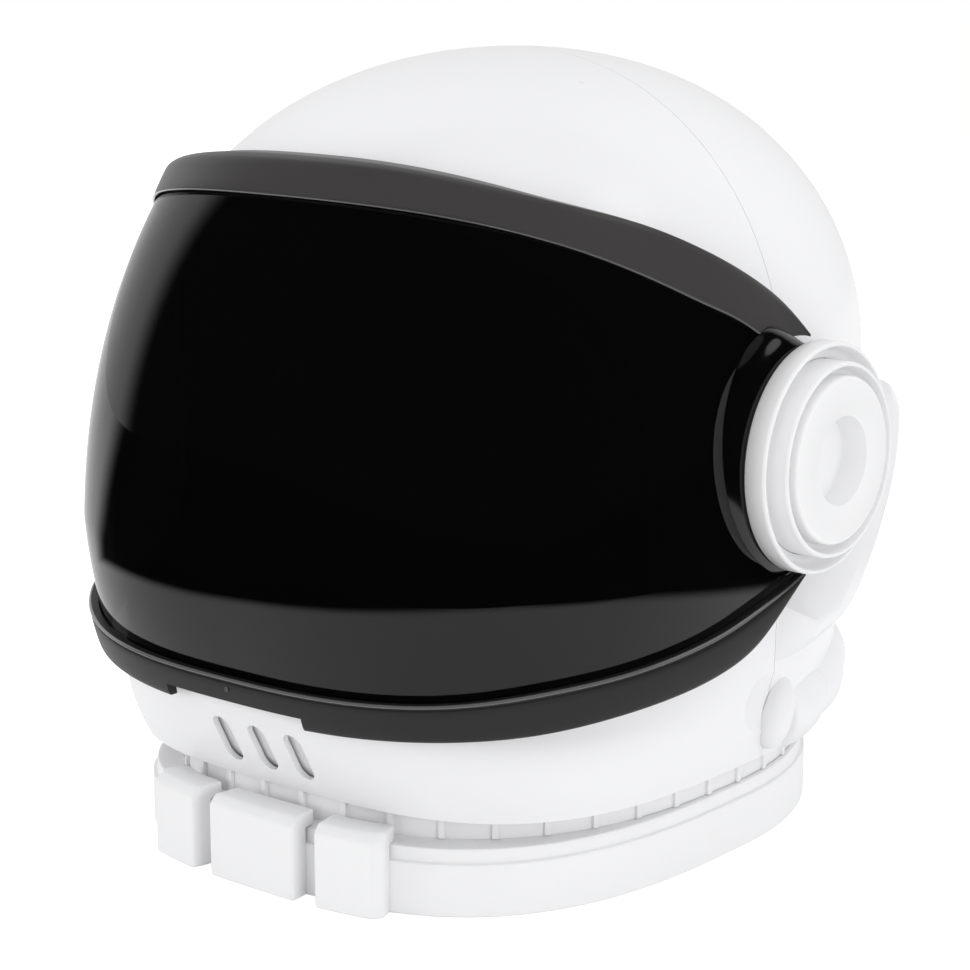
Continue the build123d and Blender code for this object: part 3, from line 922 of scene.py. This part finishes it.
def visor_surface(angles, height, proud):
    """Points of the visor's surface at plan angles and heights, proud of the lens."""
    below = height < lens_belly_height
    drop = height - lens_belly_height
    fall = np.where(below, lens_fall_low, lens_fall_high)
    curve = np.where(below, lens_curve_low, lens_curve_high)
    front = lens_reach * (1 - (abs(drop) / fall) ** curve) ** (1 / curve) + proud
    half = lens_half_width * (1 - (drop / lens_fall_side) ** 2) ** 0.5 + proud
    span = np.where(below, lens_bottom - lens_belly_height, lens_top - lens_belly_height)
    end_power = np.where(below, lens_power_low, lens_power_high)
    power = lens_power + (end_power - lens_power) * drop / span
    return oval(angles, half, np.where(np.sin(angles) > 0, lens_close_reach, front), power, height)


def edge_heights(curve, angles):
    """Height at which the visor's surface meets an edge drawn in side view."""
    height = np.full_like(angles, lens_belly_height)
    for _ in range(meeting_rounds):
        reach = -visor_surface(angles, height, 0)[:, 1]
        nearer = np.clip(curve(reach), lens_bottom - edge_overrun, lens_top + edge_overrun)
        height = 0.5 * height + 0.5 * nearer
    return height


def strip_angles(end_angle):
    """Plan angles along the visor, closer together round its corners."""
    fine = np.linspace(0, 1, strip_trial_steps)
    angles = radians(end_angle) - fine * (pi + 2 * radians(end_angle))
    points = visor_surface(angles, np.full_like(angles, lens_belly_height), 0)
    length = np.concatenate([[0], np.cumsum(np.linalg.norm(np.diff(points, axis=0), axis=1))])
    return np.interp(np.linspace(0, length[-1], strip_steps), length, angles)


def visor_strip(name, low, high, section, end_angle, corner_share=1.0):
    """Band round the visor, swept from a section of shares up the band and stands over the lens."""
    angles = strip_angles(end_angle)
    foot, top = edge_heights(low, angles), edge_heights(high, angles)
    across = abs(visor_surface(angles, foot, 0)[:, 0])
    round_corner = np.clip((across - corner_start) / (corner_end - corner_start), 0, 1)
    thinner = between(1, corner_share, eased(round_corner))
    rows = []
    for share, proud in section:
        stand = seat_gap + (proud - seat_gap) * thinner if proud > seat_gap else proud
        rows.append(visor_surface(angles, foot + (top - foot) * share, stand))
    return banded(name, rows)


def over_hub(curve):
    """The same edge, kept above the hub's flange."""
    radius = flange_radius + hub_clearance

    def height(reach):
        circle = pivot_height + np.clip(radius ** 2 - reach ** 2, 0, None) ** 0.5
        return np.where(abs(reach) < radius, np.maximum(curve(reach), circle), curve(reach))
    return height


def half_way(first, second):
    """Edge half way between two edges."""
    def height(reach):
        return (first(reach) + second(reach)) / 2
    return height


outer_steps, inner_steps = lens_steps
lens_section = [(share, 0) for share in np.linspace(0, 1, outer_steps)]
lens_section += [(share, -lens_wall) for share in np.linspace(1, 0, inner_steps)]
lens_foot, lens_head = half_way(rim_foot, rim_lip), half_way(brow_low, brow_high)
lens_piece = visor_strip("lens_shield", lens_foot, lens_head, lens_section, lens_end_angle)
hub_holes = turned("holes", [(-visor_cut, lens_hole_radius), (visor_cut, lens_hole_radius)], closed=False)
carve(lens_piece, [hub_holes])
finish_piece(soften(lens_piece), visor, "smoked_lens", ["visor_lens"])

brow_foot = over_hub(brow_low)
brow_rounded = rounded_steps(brow_section, brow_rounding, corner_steps)
brow_piece = visor_strip("brow_band", brow_foot, brow_high, brow_rounded, brow_end_angle, brow_corner_share)
finish_piece(soften(brow_piece, rounded_crease), visor, "dark_frame", ["brow_frame"])

rim_rounded = rounded_steps(rim_section, rim_rounding, corner_steps)
rim_piece = visor_strip("rim_band", rim_foot, rim_lip, rim_rounded, rim_end_angle)
notch = [(notch_front, notch_foot), (notch_back, notch_foot), (notch_back, notch_height),
         (notch_front, notch_height)]
carve(rim_piece, [side_prism(notch, notch_half_width)])
# The rim takes the darker copy of the frame plastic: painted shade
finish_piece(soften(rim_piece, moulded_crease), visor, "dark_frame", ["lower_rim"], rim_painted_shade)

# Glossy edges along the rim's lip and under the brow, whose plastic is lighter than the frame's: a painted
# highlight line on top of their real gloss
lip_rounded = rounded_steps(lip_section, edge_rounding, line_corner_steps)
lip_line = visor_strip("rim_lip_line", rim_foot, rim_lip, lip_rounded, rim_end_angle)
finish_piece(soften(lip_line, moulded_crease), visor, "dark_frame", material=glossy_edge_painted_highlight)
edge_rounded = rounded_steps(edge_section, edge_rounding, line_corner_steps)
edge_line = visor_strip("brow_edge_line", brow_foot, brow_high, edge_rounded, brow_end_angle,
                        brow_corner_share)
finish_piece(soften(edge_line, moulded_crease), visor, "dark_frame", material=glossy_edge_painted_highlight)


# Ear hubs

def painted_hub_shade_ring(name, side):
    """Black ring of painted shade between lens and flange, which fades away over and behind the hub."""
    angles = full_turn(turned_steps)
    front = eased(np.clip((shade_ring_fade_start - np.cos(angles)) / shade_ring_fade_span, shade_ring_least_share, 1))
    return capped(name, [axis_ring(side * out, between(shade_ring_root, radius, front), angles)
                         for out, radius in shade_ring_outline])


hub_outlines = {"hub_flange": flange_outline, "hub_ring": ring_outline, "hub_cap": cap_outline}
for word, side in sides.items():
    # Black ring of painted shade at the flange's foot
    shade_ring = soften(painted_hub_shade_ring(f"{word}_painted_hub_shade", side), soft_crease)
    finish_piece(shade_ring, visor, "smoked_lens", material=painted_hub_shade)
    for node, outline in hub_outlines.items():
        disc = soften(turned(f"{word}_{node}_turned", outline, side), moulded_crease)
        finish_piece(disc, visor, "white_hub", [f"{word}_{node}"])


# Neck collar

band_plan = (collar_half_width, collar_front, collar_rear, collar_front_power, collar_rear_power)
sleeve_plan = (sleeve_half_width, sleeve_front, sleeve_rear, sleeve_front_power, collar_rear_power)
skin_plan = (sleeve_half_width + sleeve_skin, sleeve_front + sleeve_skin, sleeve_rear + sleeve_skin,
             sleeve_front_power, collar_rear_power)
ring_angles = full_turn(around_steps)


def swept_ring(name, corners):
    """Ring swept round the collar from rows of plan, inset and height."""
    return looped(name, [plan_ring(plan, inset, height, ring_angles) for plan, inset, height in corners])


step_level = band_height - band_step_height
band_corners = [(band_wall, 0), (0, 0), (0, step_level), (band_step, step_level),
                (band_step, band_height), (band_wall, band_height)]
band_outside = rounded_steps(band_corners, band_rounding, corner_steps)[corner_steps:-corner_steps]
band_rows = [(band_plan, band_wall, 0)]
band_rows += [(band_plan, inset, height) for inset, height in band_outside]
band_rows += [(band_plan, band_wall, band_height), (skin_plan, -seat_gap, band_height),
              (skin_plan, -seat_gap, band_height - band_ledge_wall),
              (band_plan, band_wall, band_height - band_ledge_wall)]
band_piece = swept_ring("collar_band_ring", band_rows)
finish_piece(soften(band_piece, moulded_crease), helmet, "white_collar", ["collar_band"])

neck_inset = shell_wall + sleeve_shell_gap
sleeve_rows = [(sleeve_plan, sleeve_wall, sleeve_foot), (skin_plan, 0, sleeve_foot),
               (skin_plan, 0, sleeve_shoulder), (shell_plan(sleeve_shoulder), neck_inset, sleeve_shoulder),
               (shell_plan(sleeve_top), neck_inset, sleeve_top), (sleeve_plan, sleeve_wall, sleeve_top)]
sleeve_piece = swept_ring("collar_sleeve_tube", sleeve_rows)
finish_piece(soften(sleeve_piece, moulded_crease), helmet, "white_collar", ["collar_sleeve"])


def rib_tree(sizes, material):
    """Upright bars set along a path, each turned to follow it."""
    tree, start, end = node_group("sleeve ribs", sizes)
    given = start.outputs
    path = {"Curve": given["Geometry"], "Count": given["Count"]}
    spaced = add_node(tree, "GeometryNodeResampleCurve", path)
    lengths = {"X": given["Width"], "Y": given["Depth"], "Z": given["Height"]}
    size = add_node(tree, "ShaderNodeCombineXYZ", lengths)
    bar = add_node(tree, "GeometryNodeMeshCube", {"Size": size.outputs["Vector"]})
    heading = {"Vector": add_node(tree, "GeometryNodeInputTangent").outputs["Tangent"]}
    turn = add_node(tree, "FunctionNodeAlignRotationToVector", heading, axis="X", pivot_axis="Z")
    placed = add_node(tree, "GeometryNodeInstanceOnPoints", {
        "Points": spaced.outputs["Curve"],
        "Instance": bar.outputs["Mesh"],
        "Rotation": turn.outputs["Rotation"],
    })
    end_tree(tree, end, placed.outputs["Instances"], material)
    return tree


rib_sizes = {"Count": rib_count, "Width": rib_width * mm, "Depth": 2 * rib_proud * mm,
             "Height": (rib_top - band_height - seat_gap) * mm}
rib_middle = (rib_top + band_height + seat_gap) / 2
rib_path = path_object("rib path", plan_ring(skin_plan, 0, rib_middle, ring_angles), True)
rib_group = rib_tree(rib_sizes, slot_material["white_collar"])
ribs = round_edges(grown(rib_path, rib_group, rib_sizes, "sleeve_ribs"), rib_rounding)
finish_piece(soften(ribs, moulded_crease), helmet, "white_collar")


def clamp_block(name, start, end, far_chamfer):
    """Clamp block over the band between two angles from straight ahead."""
    angles = np.linspace(start, end, block_steps)
    full_share = np.clip(abs(angles - end) / block_far_turn, 0, 1) if far_chamfer else np.ones_like(angles)
    hook_level = band_height + seat_gap
    columns = []
    for angle, share in zip(np.radians(angles - 90), full_share):
        proud = block_proud - (1 - share) * far_chamfer
        corners = [(block_seat, 0), (-proud, 0), (-proud, block_height - block_chamfer),
                   (-proud + block_chamfer, block_height), (block_hook, block_height),
                   (block_hook, hook_level), (block_seat, hook_level)]
        here = np.array([angle])
        columns.append([plan_ring(band_plan, inset, height, here)[0] for inset, height in corners])
    return round_edges(banded(name, np.swapaxes(np.array(columns), 0, 1)), block_rounding, 3)


for name, (start, end, chamfer) in clamp_blocks.items():
    block = clamp_block(f"{name}_moulding", start, end, chamfer)
    finish_piece(soften(block, moulded_crease), helmet, "white_collar", [name])


# Neck roll

def roll_points(degrees):
    """Middle line of the neck roll, which rises towards the nape."""
    plan = (roll_half_width, roll_rear, roll_rear, roll_power, roll_power)
    angles = np.radians(degrees)
    points = plan_ring(plan, 0, 0, angles)
    points[:, 2] = roll_end_height + roll_rise * np.sin(angles)
    return points


def roll_tree(sizes, material):
    """Tube along a path that swells into rounded segments."""
    tree, start, end = node_group("swelling tube", sizes)
    given = start.outputs
    along = add_node(tree, "GeometryNodeSplineParameter").outputs["Factor"]
    turn = sum_of(tree, "MULTIPLY", sum_of(tree, "MULTIPLY", along, given["Segments"]), pi)
    wave = sum_of(tree, "ABSOLUTE", sum_of(tree, "SINE", turn))
    swell = sum_of(tree, "POWER", wave, given["Fullness"])
    spread = sum_of(tree, "SUBTRACT", given["Radius"], given["Groove radius"])
    radius = sum_of(tree, "ADD", given["Groove radius"], sum_of(tree, "MULTIPLY", swell, spread))
    circle = add_node(tree, "GeometryNodeCurvePrimitiveCircle", {"Resolution": roll_round_steps, "Radius": 1})
    tube = add_node(tree, "GeometryNodeCurveToMesh", {
        "Curve": given["Geometry"],
        "Profile Curve": circle.outputs["Curve"],
        "Scale": radius,
        "Fill Caps": True,
    })
    end_tree(tree, end, tube.outputs["Mesh"], material)
    return tree


roll_sizes = {"Segments": roll_segments, "Radius": roll_radius * mm, "Groove radius": roll_groove_radius * mm,
              "Fullness": roll_fullness}
roll_turn = np.linspace(roll_start_angle, 180 - roll_start_angle, roll_steps)
roll_path = path_object("roll path", roll_points(roll_turn), False)
roll_group = roll_tree(roll_sizes, slot_material["white_roll"])
roll = turn_outwards(grown(roll_path, roll_group, roll_sizes, "neck_roll_tube"))
roll_floor = [plan_ring(band_plan, -roll_floor_reach, level, ring_angles)
              for level in (0, band_height + seat_gap)]
carve(roll, [shell_core(), capped("floor", roll_floor)])
finish_piece(soften(roll, rounded_crease), helmet, "white_roll", ["neck_roll"])
for word, side in sides.items():
    cap = egg(f"{word}_roll_cap", roll_cap_middle, roll_cap_radii, side)
    carve(cap, [shell_core()])
    finish_piece(soften(cap, rounded_crease), helmet, "white_roll", ["neck_roll_caps"] if side > 0 else [])


# Foam pads

def inner_wall(height, inset):
    """Half width, rear reach and power of the shell's back at a height, drawn in by the inset."""
    half, _, rear, _, power = shell_plan(min(height, shell_widest_height))
    rise = max(height - shell_widest_height, 0) / (shell_top - shell_widest_height)
    scale = (1 - min(rise, 1) ** crown_power) ** (1 / crown_power)
    return (half - inset) * scale, (rear - inset) * scale, power


def pad_on_back(across, height, inset):
    """Point on the shell's back, drawn in by the inset."""
    half, rear, power = inner_wall(height, inset)
    return across, rear * (1 - (abs(across) / half) ** power) ** (1 / power), height


def pad_on_side(along, height, inset):
    """Point on the shell's left side, drawn in by the inset."""
    half, rear, power = inner_wall(height, inset)
    return half * (1 - (abs(along) / rear) ** power) ** (1 / power), along, height


def pad_on_crown(across, along, inset):
    """Point under the shell's crown, drawn in by the inset."""
    half, front, rear, front_power, back_power = shell_plan(shell_widest_height)
    reach, power = (rear, back_power) if along > 0 else (front, front_power)
    share = ((abs(across) / (half - inset)) ** power + (abs(along) / (reach - inset)) ** power) ** (1 / power)
    rise = shell_top - shell_widest_height - inset
    return across, along, shell_widest_height + rise * (1 - share ** crown_power) ** (1 / crown_power)


def pad(name, middle, half_size, squareness, surface, mirrored):
    """Crowned foam pad on the shell's inner wall, with a rounded outline."""
    round_steps, out_steps = pad_steps
    turns = full_turn(round_steps)
    outline = [(abs(cos(a)) ** squareness + abs(sin(a)) ** squareness) ** (-1 / squareness) for a in turns]
    shares = [sin(share * pi / 2) for share in np.linspace(pad_middle_share, 1, out_steps)]
    rows = []
    for share, front in [(share, True) for share in shares] + [(share, False) for share in shares[::-1]]:
        crowning = (1 - share ** pad_edge_power) ** 0.5
        stand = pad_wall * (pad_edge_share + (1 - pad_edge_share) * crowning) if front else 0
        row = []
        for angle, radius in zip(turns, outline):
            first = middle[0] + half_size[0] * share * radius * cos(angle)
            second = middle[1] + half_size[1] * share * radius * sin(angle)
            x, y, z = surface(first, second, shell_wall + pad_gap + stand)
            row.append((-x if mirrored else x, y, z))
        rows.append(row)
    return soften(capped(name, rows), soft_crease)


for word, shape, surface, mirrored in (("rear", rear_pad, pad_on_back, False),
                                       ("crown", crown_pad, pad_on_crown, False),
                                       ("left", side_pad, pad_on_side, False),
                                       ("right", side_pad, pad_on_side, True)):
    cushion = pad(f"{word}_pad_cushion", *shape, surface, mirrored)
    finish_piece(cushion, helmet, "foam", [f"{word}_foam_pad"])


# Floor, light and camera

def smooth_step(tree, value, start, end):
    """Smooth rise from nought to one between two values."""
    limits = {"Value": value, "From Min": start, "From Max": end}
    return add_node(tree, "ShaderNodeMapRange", limits, interpolation_type="SMOOTHSTEP").outputs["Result"]


def along_paper(tree, direction):
    """How far a place or a direction reaches towards the paper behind the helmet."""
    pair = {0: direction, 1: paper_direction}
    return add_node(tree, "ShaderNodeVectorMath", pair, operation="DOT_PRODUCT").outputs["Value"]


def mixed(tree, share, first, second):
    """Mix of two shaders, of which the second shows where the share is one."""
    return add_node(tree, "ShaderNodeMixShader", {0: share, 1: first, 2: second}).outputs[0]


def paper_material():
    """White paper that glows for the camera and, in mirrors, only near and behind the helmet."""
    material, tree, shader = new_material("studio floor", (1, 1, 1))
    tree.nodes.remove(shader)
    seen = add_node(tree, "ShaderNodeLightPath").outputs
    place = add_node(tree, "ShaderNodeTexCoord").outputs["Object"]
    heading = add_node(tree, "ShaderNodeVectorMath", {0: place}, operation="NORMALIZE").outputs["Vector"]
    distance = add_node(tree, "ShaderNodeVectorMath", {0: place}, operation="LENGTH").outputs["Value"]
    in_front = smooth_step(tree, along_paper(tree, place), *paper_front_range)
    beyond = smooth_step(tree, distance, *paper_radius_range)
    near = sum_of(tree, "MULTIPLY", in_front, sum_of(tree, "SUBTRACT", 1, beyond))
    behind = smooth_step(tree, along_paper(tree, heading), *floor_paper_range)
    mirrored = sum_of(tree, "MULTIPLY", seen["Is Glossy Ray"], sum_of(tree, "MAXIMUM", near, behind))
    camera_glow = sum_of(tree, "MULTIPLY", seen["Is Camera Ray"], floor_glow)
    mirrored_glow = sum_of(tree, "MULTIPLY", mirrored, mirrored_floor_glow)
    hidden = sum_of(tree, "SUBTRACT", seen["Is Glossy Ray"], mirrored)
    shade = sum_of(tree, "MULTIPLY", sum_of(tree, "SUBTRACT", 1, hidden), floor_white)
    glow = add_node(tree, "ShaderNodeEmission", {"Strength": sum_of(tree, "ADD", camera_glow, mirrored_glow)})
    matt = add_node(tree, "ShaderNodeBsdfDiffuse", {"Color": shade})
    both = add_node(tree, "ShaderNodeAddShader", {0: matt.outputs[0], 1: glow.outputs[0]})
    set_inputs(tree, tree.nodes["Material Output"], {"Surface": both.outputs[0]})
    return material


floor = capped("studio_floor", [[(floor_radius * cos(a), floor_radius * sin(a), level)
                                 for a in full_turn(floor_steps)] for level in (-floor_depth, -floor_gap)])
floor.data.materials.append(paper_material())


def studio_world():
    """Even light all round, with white paper behind and a dark room in front for mirror reflections."""
    world = bpy.data.worlds.new("studio")
    bpy.context.scene.world = world
    world.use_nodes = True
    tree = world.node_tree
    white = (1, 1, 1, 1)
    even = tree.nodes["Background"]
    set_inputs(tree, even, {"Color": white, "Strength": ambient_light})
    clean = add_node(tree, "ShaderNodeBackground", {"Color": white, "Strength": 1})
    place = add_node(tree, "ShaderNodeTexCoord").outputs["Generated"]
    paper = smooth_step(tree, along_paper(tree, place), *world_paper_range)
    lit = add_node(tree, "ShaderNodeMapRange", {"Value": paper, "To Min": dark_room, "To Max": lit_paper})
    room = add_node(tree, "ShaderNodeBackground", {"Strength": lit.outputs["Result"]})
    seen = add_node(tree, "ShaderNodeLightPath").outputs
    clear = sum_of(tree, "MAXIMUM", seen["Is Camera Ray"], seen["Is Transmission Ray"])
    mirrored = mixed(tree, seen["Is Glossy Ray"], even.outputs[0], room.outputs[0])
    set_inputs(tree, tree.nodes["World Output"], {"Surface": mixed(tree, clear, mirrored, clean.outputs[0])})


studio_world()


def soft_lamp(name, place, size, watts, mirrored):
    """Round lamp that shines on the helmet."""
    light = bpy.data.lights.new(name, "AREA")
    light.shape = "DISK"
    light.size = size
    light.energy = watts
    lamp = bpy.data.objects.new(name, light)
    lamp.location = place
    lamp.rotation_euler = (Vector(aim_point) - Vector(place)).to_track_quat("-Z", "Y").to_euler()
    lamp.visible_glossy = mirrored
    bpy.context.scene.collection.objects.link(lamp)


for name, lamp_setting in lamps.items():
    soft_lamp(name, *lamp_setting)

back = Vector((sin(camera_azimuth) * cos(camera_elevation), -cos(camera_azimuth) * cos(camera_elevation),
               sin(camera_elevation)))
lens_data = bpy.data.cameras.new("camera")
lens_data.sensor_width = sensor_width
lens_data.lens = focal_pixels / frame_pixels * sensor_width
lens_data.clip_start = nearest_seen
camera = bpy.data.objects.new("camera", lens_data)
camera.location = camera_aim + back * camera_distance
camera.rotation_euler = back.to_track_quat("Z", "Y").to_euler()
bpy.context.scene.collection.objects.link(camera)
bpy.context.scene.camera = camera
bpy.context.scene.view_settings.view_transform = "Standard"
